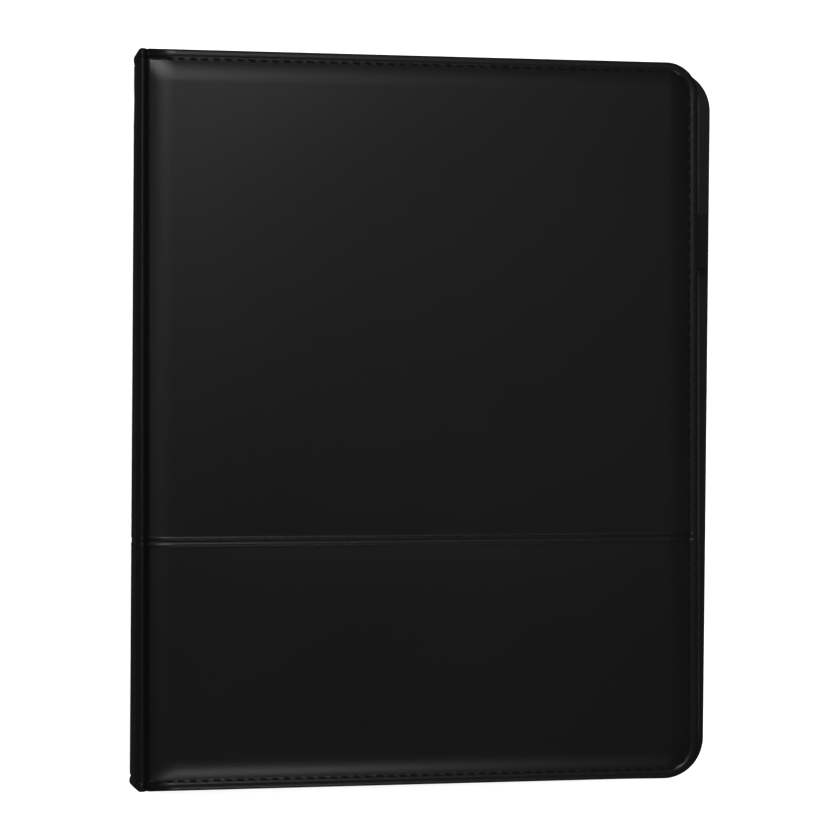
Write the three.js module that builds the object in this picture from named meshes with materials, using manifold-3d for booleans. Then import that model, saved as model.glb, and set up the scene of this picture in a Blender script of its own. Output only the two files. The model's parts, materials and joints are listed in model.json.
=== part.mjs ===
// A closed ring binder padfolio: padded leatherette covers, a spine, a three-ring mechanism,
// a writing pad in a sleeve, a document pocket and card slots. It lies on its back cover.
// Millimetres. +X runs from the spine to the fore-edge, +Y to the head, +Z up.
import * as THREE from 'three';
import { mergeVertices } from 'three/addons/utils/BufferGeometryUtils.js';
import Module from 'manifold-3d';

const wasm = await Module();
wasm.setup();

// Driving dimensions of the covers
const coverHeight = 330;
const backCoverOverhang = 6;
const closedThickness = 32;
const frontCornerRadius = 15;
const backCornerRadius = 19;
const spineCornerRadius = 2;

// Layers of a cover, from the inside out
const liningThickness = 0.5;
const boardThickness = 1.8;
const foamThickness = 1.2;
const skinThickness = 0.7;
const layerGap = 0.1;

// How far a cutting block reaches past what it cuts
const cutReach = 20;

// Hem and stitch line round the edge of a cover
const stitchInset = 4.3;
const padRoll = 4.7;
const hemHeight = 2.9;
const stitchDip = 0.45;
const boardMargin = 2.2;
const foamBevel = 2.4;
const foamSideGap = 0.3;
const liningInset = 2.6;

// Cross seam: a sunk band between the upper and the lower panel
const seamHeightShare = 0.336;
const seamBandWidth = 3.2;
const seamBandDepth = 0.5;
const spineBandDepth = 0.3;
const seamShoulder = 0.6;
const seamFoamCut = 1.1;
const seamGap = 0.1;

// Hinges
const coverSetback = 4.5;
const hingeInset = 0.8;
const spineEdgeHeight = 3.2;
const spineBoardMargin = 2;
const restGap = 0.3;

// Ring mechanism
const ringSpacing = 108;
const ringInnerDiameter = 12.7;
const ringWire = 2.2;
const ringSideGap = 0.3;
const ringCentreHeight = 9.6;
const ringLegOffset = 5.4;
const ringOpening = 13;
const housingFromCoverEnd = 26;
const housingWidth = 17;
const housingHeight = 4.2;
const housingSheet = 0.7;
const housingCorner = 1.8;
const bladePivotOffset = 7.3;
const bladePivotHeight = 1.45;
const bladeThickness = 0.8;
const bladeMeetingGap = 0.2;
const bladeFromHousingEnd = 8.5;
const legSeatGap = 0.25;
const legSlotLength = 2.9;
const legSlotInner = 3.9;
const legSlotOuter = 7.6;
const rivetFromHousingEnd = 18;
const rivetShank = 3;
const rivetHead = 6.4;
const rivetTail = 5.4;
const rivetHoleGap = 0.3;
const rivetHeadHeight = 1.1;
const rivetTailHeight = 0.6;
const leverPivotFromEnd = 3.5;
const leverTongue = 4.2;
const leverWidth = 8;
const leverSheet = 0.9;
const leverPivotHeight = 2.2;
const leverPivotPin = 1.8;
const leverPivotSideGap = 0.35;
const leverBend = 6.3;
const leverTabReach = 12.4;
const leverTabHeight = 14.6;

// Writing pad and its sleeve on the inside of the back cover
const padWidth = 216;
const padHeight = 279;
const padPages = 6;
const padCard = 0.9;
const padFromSpine = 30;
const padFromForeEdge = 15;
const padFromTail = 15;
const padTape = 0.3;
const padTapeDepth = 22;
const sleeveWall = 0.8;
const sleeveCavity = 1.2;
const sleeveRim = 3;
const sleeveMargin = 1;
const sleeveHeight = 190;
const sleeveFromTail = 7;

// Pocket and card slots on the inside of the front cover
const pocketWidth = 224;
const pocketHeight = 180;
const pocketFromSpine = 24;
const pocketFromTail = 7;
const pocketWall = 0.8;
const pocketCavity = 1;
const pocketRim = 3;
const cardSlotWidth = 104;
const cardSlotFromSpine = 34;
const cardSlotHeights = [98, 80, 62];
const cardSlotNames = ['card_slot_back', 'card_slot_middle', 'card_slot_front'];
const cardSlotSheet = 0.7;
const cardSlotAbovePocket = 24;

// Elastic pen loop at the fore-edge of the back cover
const loopLength = 25;
const loopFromHead = 69.6;
const loopWidth = 12.4;
const loopHeight = 7.4;
const loopCorner = 3;
const loopElastic = 1.1;
const loopProud = 0.4;

// Sizes that follow from the driving dimensions
const boardBottom = liningThickness + layerGap;
const boardTop = boardBottom + boardThickness;
const foamBottom = boardTop + layerGap;
const foamTop = foamBottom + foamThickness;
const coverCeiling = foamTop + layerGap;
const coverThickness = coverCeiling + skinThickness;
const spineCeiling = boardTop + layerGap;
const spineThickness = spineCeiling + skinThickness;
const halfHeight = coverHeight / 2;
const backCoverWidth = padFromSpine + padWidth + padFromForeEdge;
const frontCoverWidth = backCoverWidth - backCoverOverhang;
const closedWidth = coverSetback + backCoverWidth;
const spineX = -closedWidth / 2;
const seamY = -halfHeight + coverHeight * seamHeightShare;
const plateauInset = stitchInset + padRoll;
const coverCavityInset = stitchInset + boardMargin;
const housingLength = coverHeight - 2 * housingFromCoverEnd;
const bladeLength = housingLength - 2 * bladeFromHousingEnd;
const rivetSpacing = housingLength - 2 * rivetFromHousingEnd;

// Height of the pad's top above the rest plane, and the slope of the front cover that rests on it
const sleeveTop = coverThickness + layerGap + sleeveCavity + sleeveWall;
const padTop = sleeveTop + layerGap + padPages + padTape;
const padRight = spineX + padFromSpine + padWidth;
const hingeX = spineX + hingeInset;
const frontHingeZ = closedThickness - hingeInset;
const pocketFace = coverThickness - hingeInset + layerGap + pocketCavity + pocketWall;
const restReach = padRight - hingeX;
const restDrop = frontHingeZ - padTop - restGap;
const frontSlope = Math.atan2(restDrop, restReach) - Math.asin(pocketFace / Math.hypot(restReach, restDrop));

const leatherette = new THREE.MeshStandardMaterial({ color: 0x151516, roughness: 0.42, metalness: 0 });
const liningCloth = new THREE.MeshStandardMaterial({ color: 0x1b1b1d, roughness: 0.85, metalness: 0 });
const greyBoard = new THREE.MeshStandardMaterial({ color: 0x8b857a, roughness: 0.9, metalness: 0 });
const foamSheet = new THREE.MeshStandardMaterial({ color: 0xd8d4c8, roughness: 0.95, metalness: 0 });
const nickelSteel = new THREE.MeshStandardMaterial({ color: 0xc9cbd0, roughness: 0.22, metalness: 1 });
const pagePaper = new THREE.MeshStandardMaterial({ color: 0xf3f1ea, roughness: 0.8, metalness: 0 });
const elasticWeb = new THREE.MeshStandardMaterial({ color: 0x121213, roughness: 0.9, metalness: 0 });

const part = new THREE.Group();

function piece(group, name, geometry, material) {
  const mesh = new THREE.Mesh(geometry, material);
  mesh.name = name;
  group.add(mesh);
  return mesh;
}

// Solids for cuts and joins
function toSolid(geometry) {
  const bare = geometry.clone();
  bare.deleteAttribute('normal');
  bare.deleteAttribute('uv');
  const merged = mergeVertices(bare, 1e-4);
  const vertProperties = new Float32Array(merged.attributes.position.array);
  const triVerts = new Uint32Array(merged.index.array);
  return new wasm.Manifold(new wasm.Mesh({ numProp: 3, vertProperties, triVerts }));
}

function toGeometry(solid) {
  const mesh = solid.getMesh();
  const geometry = new THREE.BufferGeometry();
  geometry.setAttribute('position', new THREE.BufferAttribute(new Float32Array(mesh.vertProperties), 3));
  geometry.setIndex(new THREE.BufferAttribute(new Uint32Array(mesh.triVerts), 1));
  geometry.computeVertexNormals();
  return geometry;
}

function block(x0, x1, y0, y1, z0, z1) {
  const geometry = new THREE.BoxGeometry(x1 - x0, y1 - y0, z1 - z0);
  return geometry.translate((x0 + x1) / 2, (y0 + y1) / 2, (z0 + z1) / 2);
}

function cylinderAlongZ(x, y, radius, z0, z1) {
  const geometry = new THREE.CylinderGeometry(radius, radius, z1 - z0, 20);
  return geometry.rotateX(Math.PI / 2).translate(x, y, (z0 + z1) / 2);
}

// The outline of a panel, drawn in from its edge by inset, with round corners
function panelOutline(panel, inset) {
  const corners = [
    [panel.x1, -1, panel.foreRadius, -Math.PI / 2],
    [panel.x1, 1, panel.foreRadius, 0],
    [panel.x0, 1, panel.spineRadius, Math.PI / 2],
    [panel.x0, -1, panel.spineRadius, Math.PI],
  ];
  const points = [];
  for (const [x, side, cornerRadius, startAngle] of corners) {
    const radius = Math.max(cornerRadius - inset, 0.3);
    const steps = cornerRadius > spineCornerRadius ? 8 : 2;
    const inward = x === panel.x1 ? -1 : 1;
    const centreX = x + inward * (inset + radius);
    const centreY = side * (panel.halfHeight - inset - radius);
    for (let step = 0; step <= steps; step += 1) {
      const angle = startAngle + (step / steps) * (Math.PI / 2);
      points.push(new THREE.Vector2(centreX + radius * Math.cos(angle), centreY + radius * Math.sin(angle)));
    }
  }
  return points;
}

// A closed solid lofted through outlines of one panel at a list of [inset, height] pairs
function loftPanel(panel, profile) {
  const loops = profile.map(([inset]) => panelOutline(panel, inset));
  const count = loops[0].length;
  const positions = [];
  loops.forEach((loop, level) => loop.forEach((p) => positions.push(p.x, p.y, profile[level][1])));
  const index = [];
  for (const [a, b, c] of THREE.ShapeUtils.triangulateShape(loops[0], [])) index.push(a, b, c);
  const last = (loops.length - 1) * count;
  for (const [a, b, c] of THREE.ShapeUtils.triangulateShape(loops[loops.length - 1], [])) {
    index.push(last + a, last + c, last + b);
  }
  for (let level = 0; level < loops.length - 1; level += 1) {
    for (let k = 0; k < count; k += 1) {
      const a = level * count + k;
      const b = level * count + ((k + 1) % count);
      index.push(a, a + count, b + count, a, b + count, b);
    }
  }
  const geometry = new THREE.BufferGeometry();
  geometry.setAttribute('position', new THREE.Float32BufferAttribute(positions, 3));
  geometry.setIndex(index);
  geometry.computeVertexNormals();
  return geometry;
}

function flatPanel(panel, inset, bottom, top) {
  return loftPanel(panel, [[inset, top], [inset, bottom]]);
}

// The section of a skin: padded face, stitch line, rolled hem, and the hollow that holds the board
function skinProfile(faceHeight, cavityInset, ceiling) {
  const dipHeight = hemHeight - stitchDip;
  const hemRadius = (hemHeight - boardBottom) / 2;
  const profile = [];
  for (let step = 0; step <= 4; step += 1) {
    const t = step / 4;
    const rise = (1 + Math.cos(Math.PI * t)) / 2;
    profile.push([stitchInset + padRoll * (1 - t), dipHeight + (faceHeight - dipHeight) * rise]);
  }
  const crestStart = stitchInset - hemRadius;
  profile.push([stitchInset - crestStart / 2, dipHeight + stitchDip * Math.SQRT1_2]);
  for (let step = 0; step <= 4; step += 1) {
    const angle = (Math.PI * step) / 4;
    const inset = hemRadius - hemRadius * Math.sin(angle);
    profile.push([inset, boardBottom + hemRadius + hemRadius * Math.cos(angle)]);
  }
  profile.push([cavityInset, boardBottom]);
  profile.push([cavityInset, foamBottom]);
  if (ceiling > foamBottom) profile.push([plateauInset, ceiling]);
  return profile;
}

// A trough with round shoulders, along X, that parts a skin into its upper and lower panel
function seamCutter(panel, y, faceHeight) {
  const half = seamBandWidth / 2 + seamGap;
  const above = faceHeight + 1;
  const shape = new THREE.Shape();
  shape.moveTo(-half - seamShoulder, above);
  shape.lineTo(-half - seamShoulder, faceHeight);
  shape.absarc(-half - seamShoulder, faceHeight - seamShoulder, seamShoulder, Math.PI / 2, 0, true);
  shape.lineTo(-half, -1);
  shape.lineTo(half, -1);
  shape.absarc(half + seamShoulder, faceHeight - seamShoulder, seamShoulder, Math.PI, Math.PI / 2, true);
  shape.lineTo(half + seamShoulder, above);
  const length = panel.x1 - panel.x0 + 2;
  const geometry = new THREE.ExtrudeGeometry(shape, { depth: length, bevelEnabled: false, curveSegments: 3 });
  return geometry.applyMatrix4(sideViewTurn()).translate(panel.x0 - 1, y, 0);
}

// The three pieces of a skin: upper panel, lower panel and the band between them
function addSkins(group, prefix, panel, spec) {
  const whole = toSolid(loftPanel(panel, skinProfile(spec.face, spec.cavityInset, spec.ceiling)));
  const keep = toSolid(block(spec.cutX0, spec.cutX1, -coverHeight, coverHeight, -cutReach, cutReach));
  const cutter = toSolid(seamCutter(panel, spec.seamY, spec.face));
  const panels = whole.intersect(keep).subtract(cutter).decompose();
  panels.sort((a, b) => b.boundingBox().max[1] - a.boundingBox().max[1]);
  const upperFirst = spec.upwards ? ['upper', 'lower'] : ['lower', 'upper'];
  upperFirst.forEach((side, k) => piece(group, `${prefix}_skin_${side}`, toGeometry(panels[k]), leatherette));
  const sunkProfile = skinProfile(spec.face - spec.bandDepth, spec.cavityInset, spec.bandCeiling);
  const half = seamBandWidth / 2;
  const strip = toSolid(block(spec.cutX0, spec.cutX1, spec.seamY - half, spec.seamY + half, -cutReach, cutReach));
  const band = toSolid(loftPanel(panel, sunkProfile)).intersect(strip);
  piece(group, `${prefix}_seam_band`, toGeometry(band), leatherette);
}

// A padded cover lying on its inner face, with its hinge edge at x = 0
function addCover(group, prefix, width, cornerRadius, upwards) {
  const panel = {
    x0: -stitchInset - layerGap,
    x1: width,
    halfHeight,
    foreRadius: cornerRadius,
    spineRadius: spineCornerRadius,
  };
  const coverSeamY = upwards ? seamY : -seamY;
  addSkins(group, prefix, panel, {
    face: coverThickness,
    ceiling: coverCeiling,
    bandCeiling: coverCeiling - seamBandDepth,
    bandDepth: seamBandDepth,
    cavityInset: coverCavityInset,
    seamY: coverSeamY,
    cutX0: 0,
    cutX1: width + 1,
    upwards,
  });
  const boardInset = coverCavityInset + layerGap;
  piece(group, `${prefix}_board`, flatPanel(panel, boardInset, boardBottom, boardTop), greyBoard);
  const foamInset = boardInset + foamSideGap;
  const foam = toSolid(loftPanel(panel, [[foamInset + foamBevel, foamTop], [foamInset, foamBottom]]));
  const groove = seamBandWidth / 2 + 2 * seamGap;
  const foamCut = foamTop - seamFoamCut;
  const channel = block(-cutReach, width, coverSeamY - groove, coverSeamY + groove, foamCut, foamTop + 1);
  piece(group, `${prefix}_foam`, toGeometry(foam.subtract(toSolid(channel))), foamSheet);
  const liningPanel = { ...panel, x0: 0 };
  const lining = flatPanel(liningPanel, liningInset, 0, liningThickness);
  piece(group, `${prefix}_lining`, lining, liningCloth);
}

// A pocket: a sheet on a rim along three sides, lying on z = 0, with its mouth towards +y or -y
function pocketGeometry(width, height, cavity, wall, rim, mouth) {
  const mouthY = mouth * height;
  const outer = toSolid(block(0, width, Math.min(0, mouthY), Math.max(0, mouthY), 0, cavity + wall));
  const closedEnd = mouth * rim;
  const openEnd = mouth * (height + 1);
  const hollow = block(rim, width - rim, Math.min(closedEnd, openEnd), Math.max(closedEnd, openEnd), -1, cavity);
  return toGeometry(outer.subtract(toSolid(hollow)));
}

// A ribbon of sheet along a curve drawn in a plane, as a closed outline
function ribbonShape(curve, thickness, steps) {
  const left = [];
  const right = [];
  for (let step = 0; step <= steps; step += 1) {
    const t = step / steps;
    const point = curve.getPoint(t);
    const along = curve.getTangent(t);
    left.push(new THREE.Vector2(point.x - (along.y * thickness) / 2, point.y + (along.x * thickness) / 2));
    right.push(new THREE.Vector2(point.x + (along.y * thickness) / 2, point.y - (along.x * thickness) / 2));
  }
  return new THREE.Shape([...right, ...left.reverse()]);
}

// Extrudes a section drawn in X and Z along Y, centred on y = 0
function extrudeAlongY(shape, length, curveSegments = 6) {
  const geometry = new THREE.ExtrudeGeometry(shape, { depth: length, bevelEnabled: false, curveSegments });
  return geometry.rotateX(Math.PI / 2).translate(0, length / 2, 0);
}

// The flexible strip that goes round the board's end and dips into the groove beside the cover
function hingeStrip() {
  const curve = new THREE.SplineCurve([
    new THREE.Vector2(0.36, 0.4 - spineEdgeHeight),
    new THREE.Vector2(0.37, -2),
    new THREE.Vector2(0.85, -1),
    new THREE.Vector2(1.9, -0.6),
    new THREE.Vector2(2.9, -0.8),
    new THREE.Vector2(3.6, -1.6),
    new THREE.Vector2(coverSetback - 0.8, -2.6),
  ]);
  return extrudeAlongY(ribbonShape(curve, skinThickness, 12), coverHeight - 1);
}

// The back cover lies with its padded face down
function buildBackCover() {
  const cover = new THREE.Group();
  cover.position.set(spineX + coverSetback, 0, coverThickness);
  cover.rotation.x = Math.PI;
  addCover(cover, 'back', backCoverWidth, backCornerRadius, false);
  part.add(cover);

  const inside = new THREE.Group();
  inside.position.set(spineX, -halfHeight, coverThickness + layerGap);
  const sleeveWidth = padWidth + 2 * (sleeveRim + sleeveMargin);
  const sleeveX = padFromSpine - sleeveRim - sleeveMargin;
  const sleeve = pocketGeometry(sleeveWidth, sleeveHeight, sleeveCavity, sleeveWall, sleeveRim, 1);
  piece(inside, 'pad_sleeve', sleeve, leatherette).position.set(sleeveX, sleeveFromTail, 0);
  addWritingPad(inside);
  addPenLoop(inside);
  part.add(inside);
}

// The card goes down inside the sleeve, the pages lie over it, and tape joins them at the head
function addWritingPad(group) {
  const padX1 = padFromSpine + padWidth;
  const padY1 = padFromTail + padHeight;
  const cardBottom = (sleeveCavity - padCard) / 2;
  const cardTop = cardBottom + padCard;
  const pagesBottom = sleeveCavity + sleeveWall + layerGap;
  const pagesTop = pagesBottom + padPages - layerGap;
  const card = block(padFromSpine, padX1, padFromTail, padY1, cardBottom, cardTop);
  piece(group, 'pad_backing_card', card, greyBoard);
  const pages = block(padFromSpine, padX1, padFromTail, padY1, pagesBottom, pagesTop);
  piece(group, 'writing_pad', pages, pagePaper);
  const tapeY0 = padY1 - padTapeDepth;
  const tapeY1 = padY1 + padTape + layerGap;
  const tapeTop = pagesTop + layerGap + padTape;
  const tapeBottom = cardTop + layerGap;
  const outer = toSolid(block(padFromSpine, padX1, tapeY0, tapeY1, tapeBottom, tapeTop));
  const roomBottom = pagesBottom - layerGap;
  const roomTop = pagesTop + layerGap;
  const pageRoom = toSolid(block(0, padX1 + layerGap, 0, padY1 + layerGap, roomBottom, roomTop));
  piece(group, 'pad_binding_tape', toGeometry(outer.subtract(pageRoom)), liningCloth);
}

function roundedRectangle(shape, x0, x1, z0, z1, radius) {
  shape.moveTo(x0 + radius, z0);
  shape.lineTo(x1 - radius, z0);
  shape.absarc(x1 - radius, z0 + radius, radius, -Math.PI / 2, 0, false);
  shape.lineTo(x1, z1 - radius);
  shape.absarc(x1 - radius, z1 - radius, radius, 0, Math.PI / 2, false);
  shape.lineTo(x0 + radius, z1);
  shape.absarc(x0 + radius, z1 - radius, radius, Math.PI / 2, Math.PI, false);
  shape.lineTo(x0, z0 + radius);
  shape.absarc(x0 + radius, z0 + radius, radius, Math.PI, Math.PI * 1.5, false);
  return shape;
}

function addPenLoop(group) {
  const x1 = closedWidth + loopProud;
  const x0 = x1 - loopWidth;
  const shape = roundedRectangle(new THREE.Shape(), x0, x1, 0, loopHeight, loopCorner);
  const e = loopElastic;
  shape.holes.push(roundedRectangle(new THREE.Path(), x0 + e, x1 - e, e, loopHeight - e, loopCorner - e));
  const geometry = extrudeAlongY(shape, loopLength, 5);
  const loopY = coverHeight - loopFromHead - loopLength / 2;
  piece(group, 'pen_loop', geometry, elasticWeb).position.set(0, loopY, 0);
}

// The spine stands on edge: its local x is the height above the rest plane, its local z faces outwards
function buildSpine() {
  const spine = new THREE.Group();
  spine.position.set(spineX + spineThickness, 0, 0);
  spine.rotation.y = -Math.PI / 2;
  const side = plateauInset + layerGap;
  const panel = {
    x0: -side,
    x1: closedThickness + side,
    halfHeight,
    foreRadius: spineCornerRadius,
    spineRadius: spineCornerRadius,
  };
  addSkins(spine, 'spine', panel, {
    face: spineThickness,
    ceiling: spineCeiling,
    bandCeiling: spineCeiling,
    bandDepth: spineBandDepth,
    cavityInset: plateauInset,
    seamY,
    cutX0: spineEdgeHeight,
    cutX1: closedThickness - spineEdgeHeight,
    upwards: true,
  });
  const boardX1 = closedThickness - spineBoardMargin;
  const boardY = halfHeight - plateauInset - layerGap;
  const board = toSolid(block(spineBoardMargin, boardX1, -boardY, boardY, boardBottom, boardTop));
  const liningX1 = closedThickness - spineEdgeHeight;
  const liningY = halfHeight - liningInset;
  const lining = toSolid(block(spineEdgeHeight, liningX1, -liningY, liningY, 0, liningThickness));
  const holeRadius = rivetShank / 2 + rivetHoleGap;
  const tailRadius = rivetTail / 2 + rivetHoleGap;
  const holes = [];
  const tailRooms = [];
  for (const y of [rivetSpacing / 2, -rivetSpacing / 2]) {
    holes.push(toSolid(cylinderAlongZ(mechanismZ, y, holeRadius, -1, spineThickness + 1)));
    tailRooms.push(toSolid(cylinderAlongZ(mechanismZ, y, tailRadius, boardTop - rivetTailHeight, boardTop + 1)));
  }
  const drilled = [...holes, ...tailRooms].reduce((solid, cut) => solid.subtract(cut), board);
  piece(spine, 'spine_board', toGeometry(drilled), greyBoard);
  const pierced = holes.reduce((solid, cut) => solid.subtract(cut), lining);
  piece(spine, 'spine_lining', toGeometry(pierced), liningCloth);
  part.add(spine);

  const frontStrip = piece(part, 'front_hinge_strip', hingeStrip(), leatherette);
  frontStrip.position.set(spineX, 0, closedThickness);
  const backStrip = piece(part, 'back_hinge_strip', hingeStrip(), leatherette);
  backStrip.position.set(spineX, 0, 0);
  backStrip.rotation.x = Math.PI;
}

// The front cover slopes down from its hinge until its pocket rests on the pad
function buildFrontCover() {
  const swing = new THREE.Group();
  swing.position.set(hingeX, 0, frontHingeZ);
  swing.rotation.y = frontSlope;
  const cover = new THREE.Group();
  cover.position.set(coverSetback - hingeInset, 0, hingeInset - coverThickness);
  addCover(cover, 'front', frontCoverWidth, frontCornerRadius, true);

  const inside = new THREE.Group();
  inside.position.set(-coverSetback, halfHeight, -layerGap);
  inside.rotation.x = Math.PI;
  const pocketY = coverHeight - pocketFromTail;
  const pocket = pocketGeometry(pocketWidth, pocketHeight, pocketCavity, pocketWall, pocketRim, -1);
  piece(inside, 'document_pocket', pocket, leatherette).position.set(pocketFromSpine, pocketY, 0);
  const slotsY = pocketY - pocketHeight - cardSlotAbovePocket;
  cardSlotHeights.forEach((slotHeight, k) => {
    const bottom = k * (cardSlotSheet + layerGap);
    const slot = block(0, cardSlotWidth, -slotHeight, 0, bottom, bottom + cardSlotSheet);
    piece(inside, cardSlotNames[k], slot, leatherette).position.set(cardSlotFromSpine, slotsY, 0);
  });
  cover.add(inside);
  swing.add(cover);
  part.add(swing);
}

// The mechanism is drawn lying on its back: x across, y along, z away from the spine
const mechanismZ = (closedThickness - restReachDrop()) / 2;

// How far the front cover's inner face has come down beside the rings
function restReachDrop() {
  const ringX = spineThickness + ringCentreHeight + ringInnerDiameter / 2;
  return ringX * Math.tan(frontSlope);
}

function archOutline(halfWidth, base, height, corner) {
  const shape = new THREE.Shape();
  shape.moveTo(-halfWidth, base);
  shape.lineTo(halfWidth, base);
  shape.lineTo(halfWidth, height - corner);
  shape.absarc(halfWidth - corner, height - corner, corner, 0, Math.PI / 2, false);
  shape.lineTo(-halfWidth + corner, height);
  shape.absarc(-halfWidth + corner, height - corner, corner, Math.PI / 2, Math.PI, false);
  return shape;
}

// The housing: an arched channel of sheet steel with slots for the ring legs and holes for the rivets
function housingGeometry() {
  const arch = archOutline(housingWidth / 2, 0, housingHeight, housingCorner);
  const hollowWidth = housingWidth / 2 - housingSheet;
  const hollowArch = archOutline(hollowWidth, -1, housingHeight - housingSheet, housingCorner - housingSheet);
  const hollow = toSolid(extrudeAlongY(hollowArch, housingLength + 2, 3));
  let solid = toSolid(extrudeAlongY(arch, housingLength, 3)).subtract(hollow);
  for (const y of ringPlaces()) {
    for (const side of [-1, 1]) {
      const near = Math.min(side * legSlotInner, side * legSlotOuter);
      const far = Math.max(side * legSlotInner, side * legSlotOuter);
      const slot = block(near, far, y - legSlotLength / 2, y + legSlotLength / 2, 1, housingHeight + 1);
      solid = solid.subtract(toSolid(slot));
    }
  }
  for (const y of [rivetSpacing / 2, -rivetSpacing / 2]) {
    solid = solid.subtract(toSolid(cylinderAlongZ(0, y, rivetShank / 2 + rivetHoleGap, 1, housingHeight + 1)));
  }
  return toGeometry(solid);
}

function ringPlaces() {
  return [ringSpacing, 0, -ringSpacing];
}

// One half of a split ring: down from the parting at the top, round, and straight down to its blade
function ringHalfGeometry(side) {
  const radius = (ringInnerDiameter + ringWire) / 2;
  const points = [];
  const legAngle = -Math.acos(ringLegOffset / radius);
  const startAngle = Math.PI / 2 - ringSideGap / radius / 2;
  for (let step = 0; step <= 9; step += 1) {
    const angle = startAngle + ((legAngle - startAngle) * step) / 9;
    const height = ringCentreHeight + radius * Math.sin(angle);
    points.push(new THREE.Vector3(side * radius * Math.cos(angle), 0, height));
  }
  const legOuter = bladePivotOffset - ringLegOffset - ringWire / 2;
  const bladeSlope = Math.sin(THREE.MathUtils.degToRad(ringOpening / 2));
  const legBottom = bladePivotHeight - legOuter * bladeSlope + bladeThickness / 2 + legSeatGap;
  points.push(new THREE.Vector3(side * ringLegOffset, 0, legBottom + 1));
  points.push(new THREE.Vector3(side * ringLegOffset, 0, legBottom));
  const wire = new THREE.Shape();
  wire.absarc(0, 0, ringWire / 2, 0, Math.PI * 2, false);
  const path = new THREE.CatmullRomCurve3(points, false, 'centripetal');
  const settings = { extrudePath: path, steps: 16, bevelEnabled: false, curveSegments: 5 };
  return new THREE.ExtrudeGeometry(wire, settings);
}

// One blade: a strip that rocks on its outer edge, low at the middle while the rings are closed
function bladeGeometry(side) {
  const inner = side * bladeMeetingGap;
  const outer = side * bladePivotOffset;
  const low = Math.min(inner, outer) - outer;
  const high = Math.max(inner, outer) - outer;
  const half = bladeThickness / 2;
  const strip = block(low, high, -bladeLength / 2, bladeLength / 2, -half, half);
  strip.rotateY(side * THREE.MathUtils.degToRad(-ringOpening / 2)).translate(outer, 0, bladePivotHeight);
  let solid = toSolid(strip);
  for (const y of [rivetSpacing / 2, -rivetSpacing / 2]) {
    const room = cylinderAlongZ(0, y, rivetShank / 2 + 2 * rivetHoleGap, -2, housingHeight);
    solid = solid.subtract(toSolid(room));
  }
  return toGeometry(solid);
}

// A lever: a bent strip on a pivot pin inside the end of the housing, with a curled thumb tab
function leverGeometry() {
  const curve = new THREE.SplineCurve([
    new THREE.Vector2(-leverTongue, leverPivotHeight - 0.9),
    new THREE.Vector2(0, leverPivotHeight),
    new THREE.Vector2(leverPivotFromEnd, leverPivotHeight + 0.2),
    new THREE.Vector2(leverBend, leverTabHeight - 10),
    new THREE.Vector2(leverBend + 0.9, leverTabHeight - 5),
    new THREE.Vector2(leverTabReach - 3, leverTabHeight - 1),
    new THREE.Vector2(leverTabReach, leverTabHeight),
  ]);
  const strip = new THREE.ExtrudeGeometry(ribbonShape(curve, leverSheet, 16), {
    depth: leverWidth,
    bevelEnabled: false,
  });
  strip.translate(0, 0, -leverWidth / 2).applyMatrix4(sideViewTurn());
  const pinLength = housingWidth - 2 * housingSheet - 2 * leverPivotSideGap;
  const pin = new THREE.CylinderGeometry(leverPivotPin / 2, leverPivotPin / 2, pinLength, 12);
  pin.rotateZ(Math.PI / 2).translate(0, 0, leverPivotHeight);
  return toGeometry(toSolid(strip).add(toSolid(pin)));
}

// Turns a side view drawn along and up so that along is Y and up is Z
function sideViewTurn() {
  const turn = new THREE.Matrix4();
  return turn.makeBasis(new THREE.Vector3(0, 1, 0), new THREE.Vector3(0, 0, 1), new THREE.Vector3(1, 0, 0));
}

// A tubular rivet: domed head on the housing, shank through lining and board, flat tail in the board
function rivetGeometry() {
  const headZ = housingHeight + layerGap;
  const tailZ = -layerGap - boardTop;
  const profile = [
    new THREE.Vector2(0, tailZ),
    new THREE.Vector2(rivetTail / 2, tailZ),
    new THREE.Vector2(rivetTail / 2, tailZ + rivetTailHeight - layerGap),
    new THREE.Vector2(rivetShank / 2, tailZ + rivetTailHeight - layerGap),
    new THREE.Vector2(rivetShank / 2, headZ),
    new THREE.Vector2(rivetHead / 2, headZ),
    new THREE.Vector2(rivetHead / 2 - 0.4, headZ + rivetHeadHeight * 0.6),
    new THREE.Vector2(rivetHead / 4, headZ + rivetHeadHeight),
    new THREE.Vector2(0, headZ + rivetHeadHeight),
  ];
  return new THREE.LatheGeometry(profile, 20).rotateX(Math.PI / 2);
}

function buildMechanism() {
  const mechanism = new THREE.Group();
  mechanism.position.set(spineX + spineThickness + layerGap, 0, mechanismZ);
  mechanism.rotation.y = Math.PI / 2;
  piece(mechanism, 'ring_housing', housingGeometry(), nickelSteel);
  for (const [end, sign] of [['head', 1], ['tail', -1]]) {
    const rivet = piece(mechanism, `${end}_rivet`, rivetGeometry(), nickelSteel);
    rivet.position.y = (sign * rivetSpacing) / 2;
    const lever = piece(mechanism, `${end}_lever`, leverGeometry(), nickelSteel);
    lever.position.y = sign * (housingLength / 2 - leverPivotFromEnd);
    if (sign < 0) lever.rotation.z = Math.PI;
  }
  for (const [half, side] of [['front', -1], ['back', 1]]) {
    piece(mechanism, `${half}_blade`, bladeGeometry(side), nickelSteel);
    ringPlaces().forEach((y, k) => {
      const ring = piece(mechanism, `${half}_ring_half_${k + 1}`, ringHalfGeometry(side), nickelSteel);
      ring.position.y = y;
    });
  }
  part.add(mechanism);
}

buildBackCover();
buildSpine();
buildFrontCover();
buildMechanism();

export default part;
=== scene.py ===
import json
import math

import bmesh
import bpy
from mathutils import Matrix, Vector


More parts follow.
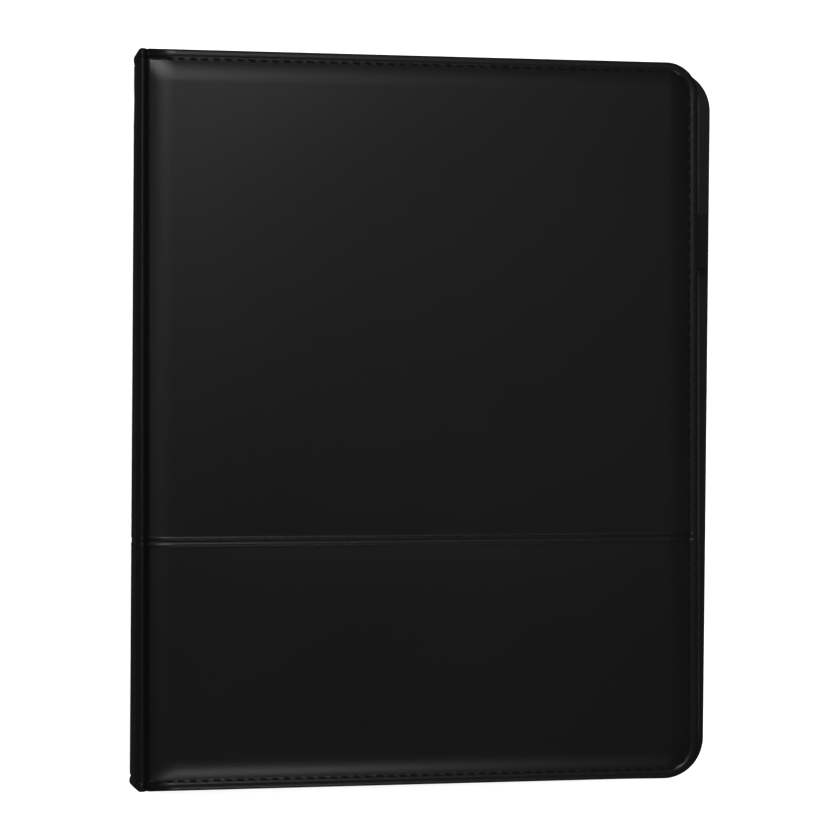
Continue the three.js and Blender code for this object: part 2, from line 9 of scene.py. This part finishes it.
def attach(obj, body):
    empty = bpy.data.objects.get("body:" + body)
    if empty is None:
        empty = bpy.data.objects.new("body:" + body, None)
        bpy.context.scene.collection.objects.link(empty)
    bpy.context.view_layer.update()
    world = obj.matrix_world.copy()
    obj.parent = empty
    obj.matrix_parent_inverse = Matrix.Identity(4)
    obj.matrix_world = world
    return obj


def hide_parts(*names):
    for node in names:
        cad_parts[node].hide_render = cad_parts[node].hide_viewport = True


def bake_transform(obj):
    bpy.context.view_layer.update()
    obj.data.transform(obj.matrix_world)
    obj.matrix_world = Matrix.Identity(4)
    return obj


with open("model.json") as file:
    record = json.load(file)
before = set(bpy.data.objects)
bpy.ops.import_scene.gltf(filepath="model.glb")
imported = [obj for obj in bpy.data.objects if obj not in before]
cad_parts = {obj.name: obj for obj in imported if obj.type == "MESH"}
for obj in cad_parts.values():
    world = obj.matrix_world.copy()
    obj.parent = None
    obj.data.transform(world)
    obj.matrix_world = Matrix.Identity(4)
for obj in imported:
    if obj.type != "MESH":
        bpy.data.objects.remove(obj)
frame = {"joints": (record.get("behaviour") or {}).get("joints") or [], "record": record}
# The start-up file's own objects belong to no body
for name in ("Cube", "Light", "Camera"):
    if name in bpy.data.objects:
        bpy.data.objects.remove(bpy.data.objects[name])
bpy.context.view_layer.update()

MM = 0.001

# Sizes of the closed padfolio, in millimetres
COVER_HEIGHT = 330
HALF = COVER_HEIGHT / 2
FRONT_WIDTH = 255
BACK_WIDTH = 261
CLOSED_THICKNESS = 32
FRONT_RADIUS = 15
BACK_RADIUS = 19
COVER_SETBACK = 4.5
HINGE_INSET = 0.8
COVER_THICKNESS = 4.5
SEAM_FROM_TAIL = 0.336 * COVER_HEIGHT
SPINE_X = -(COVER_SETBACK + BACK_WIDTH) / 2
SEAM_Y = -COVER_HEIGHT / 2 + SEAM_FROM_TAIL
HINGE_X = SPINE_X + HINGE_INSET
FRONT_HINGE_Z = CLOSED_THICKNESS - HINGE_INSET

# The front cover slopes down to its fore-edge by what its hinge turns past a right angle
FRONT_HINGE = next(joint for joint in frame["joints"] if joint["name"] == "front_hinge")
FRONT_SLOPE = math.radians(FRONT_HINGE["range_deg"][1] - 90)

# The hem, and the padding that rolls up inside it
HEM_BOTTOM = 0.6
HEM_SIDE = 1.15
HEM_HEIGHT = 2.9
PAD_ROLL = 15
PAD_REACH = 9.6
ROLL_STEPS = 12
FRONT_CROWN = 0.5
LOWER_PANEL_PROUD = 0.35
PROUD_REACH = 3
SHAPED_FROM = 0.4
SHAPED_OVER = 1.4

# The leather round the spine: what counts as its face, where its groove starts, and how its ends draw in
LEATHER_THICKNESS = 0.6
SPINE_FACE_REACH = 1
GROOVE_START = 3.6
END_DRAW = 0.035
END_DRAW_REACH = 3.5

# The cross seam: a sunk band between two ridges, which die out before the padding's crown starts
RIDGE_FROM_MIDDLE = 1.6
RIDGE_HEIGHT = 0.26
RIDGE_WIDTH = 0.3
BAND_DEPTH = 0.22
BAND_EDGE = 0.4
SEAM_CLEARANCE = 3
SEAM_CUTS = (0, 1.1, 1.3, 1.45, 1.6, 1.75, 1.9, 2.1, 2.5, 4, 7)

# Cuts across the leather that let it bend, kept clear of the seam's own cuts
CUT_SPACING = 12
CUT_CLEARANCE = 10
COVER_CUTS_END = 150
SPINE_CUTS_END = 144
SAME_POINT = 1e-5

# Stitches, with angles in radians
STITCH_INSET = 4.3
STITCH_DEPTH = 0.6
STITCH_PITCH = 5.3
STITCH_SIZE = (3.7, 1.2, 0.95)
STITCH_SLANT = -0.1
STITCH_RISE = 0.18
FIRST_STITCH = 1.5
HINGE_OVERLAP = STITCH_INSET + 0.3
SPINE_STITCHES = 5
SPINE_STITCH_START = 5.5
SPINE_STITCH_PITCH = 5.25
SPINE_STITCH_SLANT = 0.14
SPINE_STITCH_DEPTH = 0.25

# How wear has pushed the spine outwards and skewed the back cover
SPINE_PUSH = 2.2
SPINE_PUSH_FADE = 0.75
SPINE_PUSH_REACH = 6
BACK_SKEW_HEAD = 2.9
BACK_SKEW_TAIL = -0.8
BACK_DROP = 2.0

# Camera: the photograph looks down on the front cover from slightly to the spine side
CAMERA_SIDE_ANGLE = math.radians(9.7)
CAMERA_DISTANCE = 1388
CAMERA_TARGET_Z = 12
CAMERA_LENS = 130.26
CAMERA_SENSOR = 36
CAMERA_SHIFT_X = -6.8 / 840

# Half the floor's width and its drop below the part, in metres, and the faint light from all round
FLOOR_REACH = 9
FLOOR_DROP = 0.0004
ROOM_LIGHT = 0.024


def add_camera():
    """The photograph's camera, fitted to the outline of the covers."""
    data = bpy.data.cameras.new("camera")
    data.lens = CAMERA_LENS
    data.sensor_width = CAMERA_SENSOR
    data.shift_x = CAMERA_SHIFT_X
    data.clip_start = 0.05
    camera = bpy.data.objects.new("camera", data)
    side = math.sin(CAMERA_SIDE_ANGLE) * CAMERA_DISTANCE
    up = math.cos(CAMERA_SIDE_ANGLE) * CAMERA_DISTANCE
    camera.location = Vector((-side, 0, up + CAMERA_TARGET_Z)) * MM
    camera.rotation_euler = (0, -CAMERA_SIDE_ANGLE, 0)
    bpy.context.collection.objects.link(camera)
    bpy.context.scene.camera = camera


class Value:
    """A number socket that takes part in plain arithmetic."""

    def __init__(self, tree, socket):
        self.tree = tree
        self.socket = socket

    def combine(self, operation, other, swapped=False):
        pair = [self, other]
        if swapped:
            pair.reverse()
        node = self.tree.nodes.new("ShaderNodeMath")
        node.operation = operation
        for socket, value in zip(node.inputs, pair):
            if isinstance(value, Value):
                self.tree.links.new(value.socket, socket)
            else:
                socket.default_value = value
        return Value(self.tree, node.outputs[0])

    def __add__(self, other):
        return self.combine("ADD", other)

    __radd__ = __add__

    def __sub__(self, other):
        return self.combine("SUBTRACT", other)

    def __rsub__(self, other):
        return self.combine("SUBTRACT", other, swapped=True)

    def __mul__(self, other):
        return self.combine("MULTIPLY", other)

    __rmul__ = __mul__


class Finish:
    """One material, built node by node."""

    def __init__(self, name):
        self.material = bpy.data.materials.new(name)
        self.material.use_nodes = True
        self.tree = self.material.node_tree
        self.shader = self.tree.nodes["Principled BSDF"]
        self.place = self.node("ShaderNodeTexCoord").outputs["Object"]

    def node(self, kind, settings=None, **values):
        """Adds a node: its settings first, then the values or links of its sockets."""
        node = self.tree.nodes.new(kind)
        for key, value in (settings or {}).items():
            setattr(node, key, value)
        for key, value in values.items():
            socket = node.inputs[key.replace("_", " ")]
            if isinstance(value, Value):
                value = value.socket
            if isinstance(value, bpy.types.NodeSocket):
                self.tree.links.new(value, socket)
            else:
                socket.default_value = value
        return node

    def noise(self, scale, detail=3.0, stretch=(1, 1, 1)):
        mapping = self.node("ShaderNodeMapping", Vector=self.place, Scale=stretch)
        noise = self.node("ShaderNodeTexNoise", Vector=mapping.outputs[0], Scale=scale, Detail=detail)
        return Value(self.tree, noise.outputs["Fac"])

    def cells(self, scale):
        cells = self.node("ShaderNodeTexVoronoi", {"feature": "SMOOTH_F1"}, Vector=self.place, Scale=scale)
        return Value(self.tree, cells.outputs["Distance"])

    def ribs(self, scale, direction):
        wave = self.node("ShaderNodeTexWave", {"bands_direction": direction}, Vector=self.place, Scale=scale)
        return Value(self.tree, wave.outputs["Fac"])

    def colours(self, amount, dark, light):
        mix = self.node("ShaderNodeMix", {"data_type": "RGBA"})
        self.tree.links.new(amount.socket, mix.inputs["Factor"])
        mix.inputs[6].default_value = (*dark, 1)
        mix.inputs[7].default_value = (*light, 1)
        self.tree.links.new(mix.outputs[2], self.shader.inputs["Base Color"])

    def roughness(self, value):
        self.tree.links.new(value.socket, self.shader.inputs["Roughness"])

    def bump(self, height, strength, distance):
        bump = self.node("ShaderNodeBump", Strength=strength, Distance=distance, Height=height)
        self.tree.links.new(bump.outputs[0], self.shader.inputs["Normal"])

    def even(self, **values):
        for key, value in values.items():
            self.shader.inputs[key.replace("_", " ")].default_value = value
        return self.material


def leatherette():
    finish = Finish("black_leatherette")
    grain = finish.cells(1700)
    pores = finish.noise(2600, 2)
    patches = finish.noise(9, 2)
    finish.colours(patches, (0.0032, 0.0032, 0.0034), (0.0046, 0.0046, 0.0048))
    finish.roughness(0.29 + patches * 0.05 + grain * 0.04)
    finish.bump(grain * 0.7 + pores * 0.3, 0.28, 0.00012)
    return finish.even(Specular_IOR_Level=0.32)


def lining_cloth():
    finish = Finish("black_lining_cloth")
    across = finish.ribs(900, "X")
    along = finish.ribs(900, "Y")
    patches = finish.noise(14)
    finish.colours(patches, (0.012, 0.012, 0.013), (0.021, 0.021, 0.022))
    finish.roughness(0.75 + patches * 0.1)
    finish.bump(across * along, 0.35, 0.00012)
    return finish.even(Sheen_Weight=0.15)


def thread():
    finish = Finish("black_thread")
    twist = finish.noise(5200, 2, (1, 1, 0.4))
    finish.colours(twist, (0.002, 0.002, 0.002), (0.006, 0.006, 0.006))
    finish.roughness(0.7 + twist * 0.2)
    finish.bump(twist, 0.5, 0.0001)
    return finish.even(Specular_IOR_Level=0.15)


def grey_board():
    finish = Finish("grey_board")
    fibres = finish.noise(420, 6, (1, 3, 1))
    finish.colours(fibres, (0.33, 0.31, 0.27), (0.45, 0.42, 0.37))
    finish.roughness(0.82 + fibres * 0.1)
    finish.bump(fibres, 0.3, 0.0001)
    return finish.material


def foam_sheet():
    finish = Finish("foam_sheet")
    bubbles = finish.cells(900)
    finish.colours(bubbles, (0.55, 0.53, 0.46), (0.78, 0.76, 0.68))
    finish.roughness(0.85 + bubbles * 0.1)
    finish.bump(bubbles, 0.6, 0.0003)
    return finish.material


def nickel_steel():
    finish = Finish("bright_nickel")
    brushing = finish.noise(700, 3, (1, 0.04, 1))
    smudges = finish.noise(60, 3)
    finish.colours(smudges, (0.62, 0.62, 0.63), (0.76, 0.76, 0.77))
    finish.roughness(0.14 + brushing * 0.08 + smudges * 0.08)
    finish.bump(brushing, 0.06, 0.00005)
    return finish.even(Metallic=1.0)


def page_paper():
    finish = Finish("ruled_paper")
    sheets = finish.ribs(2400, "Z")
    fibres = finish.noise(800, 5)
    finish.colours(fibres, (0.80, 0.79, 0.74), (0.88, 0.87, 0.83))
    finish.roughness(0.78 + fibres * 0.1)
    finish.bump(sheets * 0.8 + fibres * 0.2, 0.35, 0.0001)
    return finish.material


def elastic_web():
    finish = Finish("elastic_web")
    ribs = finish.ribs(420, "Y")
    patches = finish.noise(300)
    finish.colours(patches, (0.003, 0.003, 0.003), (0.007, 0.007, 0.007))
    finish.roughness(0.72 + patches * 0.15)
    finish.bump(ribs, 0.6, 0.0002)
    return finish.even(Specular_IOR_Level=0.2)


# Places of the covers: a cover is drawn lying on its inner face, with its hinge edge at x = 0
def front_place():
    hinge = Matrix.Translation(Vector((HINGE_X, 0, FRONT_HINGE_Z)) * MM)
    slope = Matrix.Rotation(FRONT_SLOPE, 4, "Y")
    offset = Matrix.Translation(Vector((COVER_SETBACK - HINGE_INSET, 0, HINGE_INSET - COVER_THICKNESS)) * MM)
    return hinge @ slope @ offset


def back_place():
    offset = Matrix.Translation(Vector((SPINE_X + COVER_SETBACK, 0, COVER_THICKNESS)) * MM)
    return offset @ Matrix.Rotation(math.pi, 4, "X")


def finished(bm, name, place, material, body, flat_below=None):
    """Turns a bmesh drawn in millimetres into a placed object that rides on a body."""
    for face in bm.faces:
        low = flat_below is not None and face.calc_center_median().z < flat_below
        face.smooth = len(face.verts) <= 4 and not low
    bmesh.ops.scale(bm, vec=(MM, MM, MM), verts=bm.verts)
    bmesh.ops.transform(bm, matrix=place, verts=bm.verts)
    bmesh.ops.recalc_face_normals(bm, faces=bm.faces)
    mesh = bpy.data.meshes.new(name)
    bm.to_mesh(mesh)
    bm.free()
    mesh.materials.append(material)
    obj = bpy.data.objects.new(name, mesh)
    bpy.context.collection.objects.link(obj)
    if body:
        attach(obj, body)
    return obj


def everything(bm):
    """All the mesh has, as the cutting operator wants it."""
    return bm.verts[:] + bm.edges[:] + bm.faces[:]


def cut_across(bm, axis, places):
    """Cuts every face at planes across one axis, so that later shaping has points to move."""
    normal = Vector((0, 0, 0))
    normal[axis] = 1
    for place in places:
        spot = Vector((0, 0, 0))
        spot[axis] = place
        bmesh.ops.bisect_plane(bm, geom=everything(bm), dist=SAME_POINT, plane_co=spot, plane_no=normal)


def seam_height(distance):
    """The cross seam: two rolled edges with a sunk band between them. The edge at lower Y is the fuller."""
    d = abs(distance)
    side = 1.0 if distance < 0 else 0.6
    ridge = RIDGE_HEIGHT * side * math.exp(-((d - RIDGE_FROM_MIDDLE) / RIDGE_WIDTH) ** 2)
    band = -BAND_DEPTH * min(1.0, max(0.0, (RIDGE_FROM_MIDDLE - d) / BAND_EDGE))
    return ridge + band


def seam_places(centre):
    """The seam's cuts on both sides of its middle."""
    both = sorted(set(SEAM_CUTS) | {-cut for cut in SEAM_CUTS})
    return [centre + cut for cut in both]


def even_places(end, seam_y):
    """Evenly spaced places between two ends, without those beside the seam."""
    places = range(-end, end + 1, CUT_SPACING)
    return [y for y in places if abs(y - seam_y) > CUT_CLEARANCE]


def crown_share(x, y, width, seam_y):
    """A point's share of the padding's crown: all in a panel's middle, none where its roll ends."""
    plateau = STITCH_INSET + PAD_REACH
    low = -HALF + plateau if y < seam_y else seam_y + SEAM_CLEARANCE
    high = seam_y - SEAM_CLEARANCE if y < seam_y else HALF - plateau
    across = min(1.0, abs(x - width / 2) / (width / 2 - plateau))
    along = min(1.0, abs(y - (low + high) / 2) / ((high - low) / 2))
    return (1 - across ** 6) * (1 - along ** 6)


def cover_steps():
    """Distances inwards with their rises: over the hem, down to the stitches, up on to the padding."""
    steps = [(0.1, 0.4), (0.25, 0.35), (0.4, 0.22), (0.6, 0.12), (0.7, 0.07), (0.6, 0.0), (0.5, -0.1),
             (0.45, -0.2), (0.3, -0.2), (0.2, -0.1), (0.2, 0.0)]
    start = HEM_BOTTOM + HEM_SIDE + sum(rise for _, rise in steps)
    for step in range(ROLL_STEPS):
        low = 1 - (1 - PAD_REACH * step / ROLL_STEPS / PAD_ROLL) ** 3
        high = 1 - (1 - PAD_REACH * (step + 1) / ROLL_STEPS / PAD_ROLL) ** 3
        steps.append((PAD_REACH / ROLL_STEPS, (COVER_THICKNESS - start) * (high - low)))
    return steps


def cover_blank(width, radius):
    """The cover's outline raised to its hem, groove and padding, and cut off square at the hinge edge."""
    full = width + HINGE_OVERLAP
    bm = bmesh.new()
    bmesh.ops.create_grid(bm, x_segments=1, y_segments=1, size=0.5)
    bmesh.ops.scale(bm, vec=(full, COVER_HEIGHT, 1), verts=bm.verts)
    bmesh.ops.translate(bm, vec=(full / 2 - HINGE_OVERLAP, 0, HEM_BOTTOM), verts=bm.verts)
    corners = [v for v in bm.verts if v.co.x > 0]
    bmesh.ops.bevel(bm, geom=corners, offset=radius, affect="VERTICES", segments=20, profile=0.5, material=-1)
    top = bmesh.ops.extrude_face_region(bm, geom=bm.faces[:])
    lifted = [item for item in top["geom"] if isinstance(item, bmesh.types.BMVert)]
    bmesh.ops.translate(bm, vec=(0, 0, HEM_SIDE), verts=lifted)
    face = max(bm.faces, key=lambda f: f.calc_center_median().z)
    for inward, rise in cover_steps():
        bmesh.ops.inset_region(bm, faces=[face], thickness=inward, depth=0, use_even_offset=True)
        bmesh.ops.translate(bm, vec=(0, 0, rise), verts=face.verts[:])
    bmesh.ops.bisect_plane(bm, geom=everything(bm), dist=SAME_POINT, plane_co=(0, 0, 0),
                           plane_no=(-1, 0, 0), clear_outer=True)
    return bm


def raise_seam_and_crown(bm, width, seam_y, crown, lower_proud):
    """Shapes the upper side, and lets the tail's panel stand a little proud at the fore-edge."""
    lowest = HEM_BOTTOM + SHAPED_FROM
    for vert in bm.verts:
        x, y, z = vert.co
        if z < lowest:
            continue
        weight = min(1.0, max(0.0, (z - lowest) / SHAPED_OVER))
        vert.co.z += seam_height(y - seam_y) * weight
        vert.co.z += crown * crown_share(x, y, width, seam_y)
        if (y < seam_y) == (seam_y < 0) and x > width - PROUD_REACH:
            vert.co.x += lower_proud


def skew_back_cover(bm):
    """Moves the fore-edge out at the head, a little in at the tail, and down. The head is drawn at low Y."""
    for vert in bm.verts:
        out = max(0.0, vert.co.x) / BACK_WIDTH
        towards_head = (HALF - vert.co.y) / COVER_HEIGHT
        vert.co.x += out * (BACK_SKEW_TAIL + (BACK_SKEW_HEAD - BACK_SKEW_TAIL) * towards_head)
        vert.co.y += out * BACK_DROP


def cover_leather(name, width, radius, seam_y, crown, place, material, body, lower_proud,
                  skewed=False):
    """A padded cover: rolled hem, stitch groove and padded face, grown inwards from its outline."""
    bm = cover_blank(width, radius)
    cut_across(bm, 1, seam_places(seam_y))
    cut_across(bm, 1, even_places(COVER_CUTS_END, seam_y))
    cut_across(bm, 0, range(CUT_SPACING, int(width) - CUT_CLEARANCE, CUT_SPACING))
    raise_seam_and_crown(bm, width, seam_y, crown, lower_proud)
    if skewed:
        skew_back_cover(bm)
    boundary = [e for e in bm.edges if e.is_boundary]
    bmesh.ops.holes_fill(bm, edges=boundary)
    return finished(bm, name, place, material, body, flat_below=HEM_BOTTOM + 0.01)


# The leather round the spine: a section in X and Z, swept along Y
def wrap_section():
    """Points from the front cover's edge through the groove and over the ridge to the spine's face."""
    top = CLOSED_THICKNESS
    return [
        (5.8, top - 3.3), (5.0, top - 3.5), (4.4, top - 3.6), (3.9, top - 3.5), (3.5, top - 3.0),
        (3.2, top - 2.2), (2.9, top - 1.3), (2.5, top - 0.7), (2.0, top - 0.35), (1.5, top - 0.3),
        (1.0, top - 0.5), (0.6, top - 0.95), (0.3, top - 1.6), (0.1, top - 2.4), (0.0, top - 3.3),
    ]


def hem_places():
    """Places along the spine where the swept leather has points: close by the hems and the seam."""
    ends = [0, 0.15, 0.5, 1.1, 1.9, 2.8, 3.5, 3.9, 4.2, 4.5, 4.9, 5.5, 6.5, 8, 10, 14]
    places = [-HALF + e for e in ends] + [HALF - e for e in ends]
    places += seam_places(SEAM_Y)
    places += even_places(SPINE_CUTS_END, SEAM_Y)
    return sorted(set(round(p, 3) for p in places))


def bell(distance, width):
    """One at no distance, and fading to nothing over a few widths."""
    return math.exp(-(distance / width) ** 2)


def spine_rise(y):
    """How far the spine's leather stands out or dips at a place along the spine."""
    from_end = HALF - abs(y)
    seam = seam_height(y - SEAM_Y) * 0.8
    stitch_line = 0.5 * bell(from_end - STITCH_INSET, 0.5)
    hem = 0.25 * bell(from_end - 2.2, 1.2)
    rounded_end = 0.9 * max(0.0, 1 - from_end / 1.2) ** 2
    crease = 0.25 * bell(from_end - 20.5, 0.7) if y > 0 else 0.0
    return seam - stitch_line + hem - rounded_end - crease


def spine_lean(x, y, z):
    """The spine has been pushed outwards low down and towards the tail."""
    towards_tail = (HALF - y) / COVER_HEIGHT
    low = 1 - SPINE_PUSH_FADE * max(0.0, z) / CLOSED_THICKNESS
    near = max(0.0, 1 - x / SPINE_PUSH_REACH)
    return -SPINE_PUSH * towards_tail * low * near


def closed_section(section, thickness):
    """The section with its inner side added, so that the leather has a thickness."""
    inner = []
    for index, (x, z) in enumerate(section):
        before = section[max(index - 1, 0)]
        after = section[min(index + 1, len(section) - 1)]
        along = Vector((after[0] - before[0], after[1] - before[1])).normalized()
        inner.append((x - along.y * thickness, z + along.x * thickness))
    return list(section) + inner[::-1]


def swept_leather(name, section, body, material):
    """Sweeps a section along the spine, with its hem, seam and stitch line."""
    places = hem_places()
    outline = closed_section(section, LEATHER_THICKNESS)
    bm = bmesh.new()
    ring = [bm.verts.new((x, places[0], z)) for x, z in outline]
    cap = bm.faces.new(ring)
    edges = cap.edges[:]
    for before, after in zip(places, places[1:]):
        grown = bmesh.ops.extrude_edge_only(bm, edges=edges)["geom"]
        verts = [item for item in grown if isinstance(item, bmesh.types.BMVert)]
        edges = [item for item in grown if isinstance(item, bmesh.types.BMEdge)]
        bmesh.ops.translate(bm, vec=(0, after - before, 0), verts=verts)
    bmesh.ops.edgeloop_fill(bm, edges=edges)
    middle = CLOSED_THICKNESS / 2
    for vert in bm.verts:
        x, y, z = vert.co
        on_face = x < SPINE_FACE_REACH
        outward = Vector((-1, 0, 0)) if on_face else Vector((-0.25, 0, 1 if z > middle else -1))
        vert.co += outward * spine_rise(y) * (0.5 if x > GROOVE_START else 1.0)
        end = max(0.0, 1 - (HALF - abs(y)) / END_DRAW_REACH)
        vert.co.z += (middle - z) * END_DRAW * end ** 2
        vert.co.x += spine_lean(x, y, z)
    bmesh.ops.translate(bm, vec=(SPINE_X, 0, 0), verts=bm.verts)
    return finished(bm, name, Matrix.Identity(4), material, body)


def mirrored_section(section):
    """The section's counterpart at the back cover, in the same direction round the spine."""
    return [(x, CLOSED_THICKNESS - z) for x, z in reversed(section)]


def stitch_spot(s, width, radius):
    """Place and turn of a stitch at a distance along the head, fore-edge and tail of a cover."""
    inner = radius - STITCH_INSET
    right = width - STITCH_INSET
    high = HALF - STITCH_INSET
    straight_across = right - inner - FIRST_STITCH
    straight_down = 2 * (high - inner)
    quarter = math.pi / 2 * inner
    if s < straight_across:
        return FIRST_STITCH + s, high, 0.0
    s -= straight_across
    if s < quarter:
        turn = s / inner
        return right - inner + inner * math.sin(turn), high - inner + inner * math.cos(turn), -turn
    s -= quarter
    if s < straight_down:
        return right, high - inner - s, -math.pi / 2
    s -= straight_down
    if s < quarter:
        turn = s / inner
        x = right - inner + inner * math.cos(turn)
        return x, -high + inner - inner * math.sin(turn), -math.pi / 2 - turn
    s -= quarter
    return right - inner - s, -high, -math.pi


def stitch_route(width, radius):
    """Where the stitches of a cover lie, evenly spaced from the head's hinge end to the tail's."""
    inner = radius - STITCH_INSET
    straight_across = width - STITCH_INSET - inner - FIRST_STITCH
    straight_down = 2 * (HALF - STITCH_INSET - inner)
    total = 2 * straight_across + straight_down + 2 * (math.pi / 2 * inner)
    count = round(total / STITCH_PITCH)
    return [stitch_spot((k + 0.5) * total / count, width, radius) for k in range(count)]


def add_stitch(bm, matrix):
    """One stitch, a long rounded bead of thread."""
    made = bmesh.ops.create_uvsphere(bm, u_segments=6, v_segments=5, radius=0.5)["verts"]
    bmesh.ops.rotate(bm, verts=made, matrix=Matrix.Rotation(math.pi / 2, 3, "Y"))
    bmesh.ops.scale(bm, vec=STITCH_SIZE, verts=made)
    bmesh.ops.transform(bm, matrix=matrix, verts=made)


def cover_stitches(name, width, radius, place, material, body):
    """A cover's stitches in one piece, each turned along the edge and slanted a little."""
    bm = bmesh.new()
    height = HEM_HEIGHT - STITCH_DEPTH + STITCH_RISE
    for x, y, turn in stitch_route(width, radius):
        spot = Matrix.Translation((x, y, height)) @ Matrix.Rotation(turn + STITCH_SLANT, 4, "Z")
        add_stitch(bm, spot)
    return finished(bm, name, place, material, body)


def spine_stitches(material):
    """A short row across the spine's head and tail."""
    bm = bmesh.new()
    turn = Matrix.Rotation(math.pi / 2, 4, "Y") @ Matrix.Rotation(SPINE_STITCH_SLANT, 4, "Z")
    for end in (-1, 1):
        y = end * (HALF - STITCH_INSET)
        for k in range(SPINE_STITCHES):
            z = SPINE_STITCH_START + k * SPINE_STITCH_PITCH
            add_stitch(bm, Matrix.Translation((SPINE_X + SPINE_STITCH_DEPTH, y, z)) @ turn)
    return finished(bm, "spine_stitches", Matrix.Identity(4), material, "spine")


def dress_cad_nodes(finishes):
    """Gives every node that keeps its CAD shape the material of its slot."""
    slots = {s["node"]: s["material_slot"] for s in frame["record"]["subparts"]}
    for node, slot in slots.items():
        obj = bpy.data.objects.get(node)
        if obj is None:
            continue
        obj.data.materials.clear()
        obj.data.materials.append(finishes[slot])


def add_floor():
    """A pale floor lit until it is white. It doesn't show in the leather's reflections."""
    bm = bmesh.new()
    bmesh.ops.create_grid(bm, x_segments=1, y_segments=1, size=FLOOR_REACH)
    mesh = bpy.data.meshes.new("floor")
    bm.to_mesh(mesh)
    bm.free()
    obj = bpy.data.objects.new("floor", mesh)
    obj.location.z = -FLOOR_DROP
    bpy.context.collection.objects.link(obj)
    finish = Finish("pale_floor")
    cloud = finish.noise(3, 2)
    finish.colours(cloud, (0.93, 0.93, 0.93), (0.96, 0.96, 0.96))
    finish.roughness(0.9 + cloud * 0.05)
    finish.even(Emission_Color=(1, 1, 1, 1), Emission_Strength=0.5, Specular_IOR_Level=0.0)
    mesh.materials.append(finish.material)
    obj.visible_glossy = False


def area_light(name, place, target, size, size_y, power, mirrored=True):
    """An area light aimed at a target, in metres and watts. Unless mirrored, it leaves no reflection."""
    data = bpy.data.lights.new(name, "AREA")
    data.shape = "RECTANGLE"
    data.size = size
    data.size_y = size_y
    data.energy = power
    light = bpy.data.objects.new(name, data)
    light.location = place
    light.visible_glossy = mirrored
    away = Vector(place) - Vector(target)
    light.rotation_euler = away.to_track_quat("Z", "Y").to_euler()
    bpy.context.collection.objects.link(light)


def add_lights():
    world = bpy.data.worlds.new("studio")
    world.use_nodes = True
    background = world.node_tree.nodes["Background"]
    background.inputs["Color"].default_value = (1, 1, 1, 1)
    background.inputs["Strength"].default_value = ROOM_LIGHT
    bpy.context.scene.world = world
    centre = (0, 0, 0)
    area_light("right_softbox", (2.1, 0.0, 0.85), centre, 0.5, 2.2, 34, mirrored=False)
    area_light("left_softbox", (-2.1, 0.6, 0.85), centre, 0.5, 1.6, 24, mirrored=False)
    area_light("tail_softbox", (0.0, -2.1, 0.85), centre, 2.2, 0.5, 34, mirrored=False)
    area_light("head_softbox", (0.0, 2.1, 0.85), centre, 2.2, 0.5, 34, mirrored=False)
    area_light("corner_glow", (-0.10, 0.56, 1.22), (-0.15, 0.15, 0), 0.36, 0.36, 3.0)
    area_light("hem_light", (-0.27, 0.92, 1.2), (-0.1, 0.16, 0.03), 0.36, 0.4, 4.2)
    area_light("top_glow", (0.42, 0.25, 1.25), (0.05, 0.05, 0.03), 0.8, 0.6, 0.34)
    area_light("ridge_strip", (-0.62, 0.1, 1.25), (-0.13, 0, 0.03), 0.2, 1.0, 0.5)
    area_light("tail_strip", (0.10, -0.88, 1.05), (-0.05, -0.16, 0.03), 0.3, 0.18, 1.7)
    bpy.context.scene.view_settings.view_transform = "Standard"


def build():
    add_camera()
    leather = leatherette()
    stitch_thread = thread()
    finishes = {
        "leatherette": leather, "lining": lining_cloth(), "board": grey_board(), "foam": foam_sheet(),
        "steel": nickel_steel(), "paper": page_paper(), "elastic": elastic_web(),
    }
    dress_cad_nodes(finishes)

    front = cover_leather("front_cover_leather", FRONT_WIDTH, FRONT_RADIUS, SEAM_Y, FRONT_CROWN,
                          front_place(), leather, "front_cover", LOWER_PANEL_PROUD)
    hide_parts("front_skin_upper", "front_skin_lower", "front_seam_band")
    back = cover_leather("back_cover_leather", BACK_WIDTH, BACK_RADIUS, -SEAM_Y, 0.0,
                         back_place(), leather, "back_cover", 0.0, skewed=True)
    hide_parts("back_skin_upper", "back_skin_lower", "back_seam_band")

    top = wrap_section()
    spine_face = [top[-1], (-0.05, 22), (-0.1, 16), (-0.05, 10), mirrored_section(top)[0]]
    spine = swept_leather("spine_leather", spine_face, "spine", leather)
    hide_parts("spine_skin_upper", "spine_skin_lower", "spine_seam_band")
    front_wrap = swept_leather("front_hinge_leather", top, None, leather)
    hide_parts("front_hinge_strip")
    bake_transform(front_wrap)
    back_wrap = swept_leather("back_hinge_leather", mirrored_section(top), None, leather)
    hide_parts("back_hinge_strip")
    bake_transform(back_wrap)

    cover_stitches("front_stitches", FRONT_WIDTH, FRONT_RADIUS, front_place(), stitch_thread, "front_cover")
    cover_stitches("back_stitches", BACK_WIDTH, BACK_RADIUS, back_place(), stitch_thread, "back_cover")
    spine_stitches(stitch_thread)
    add_floor()
    add_lights()


build()
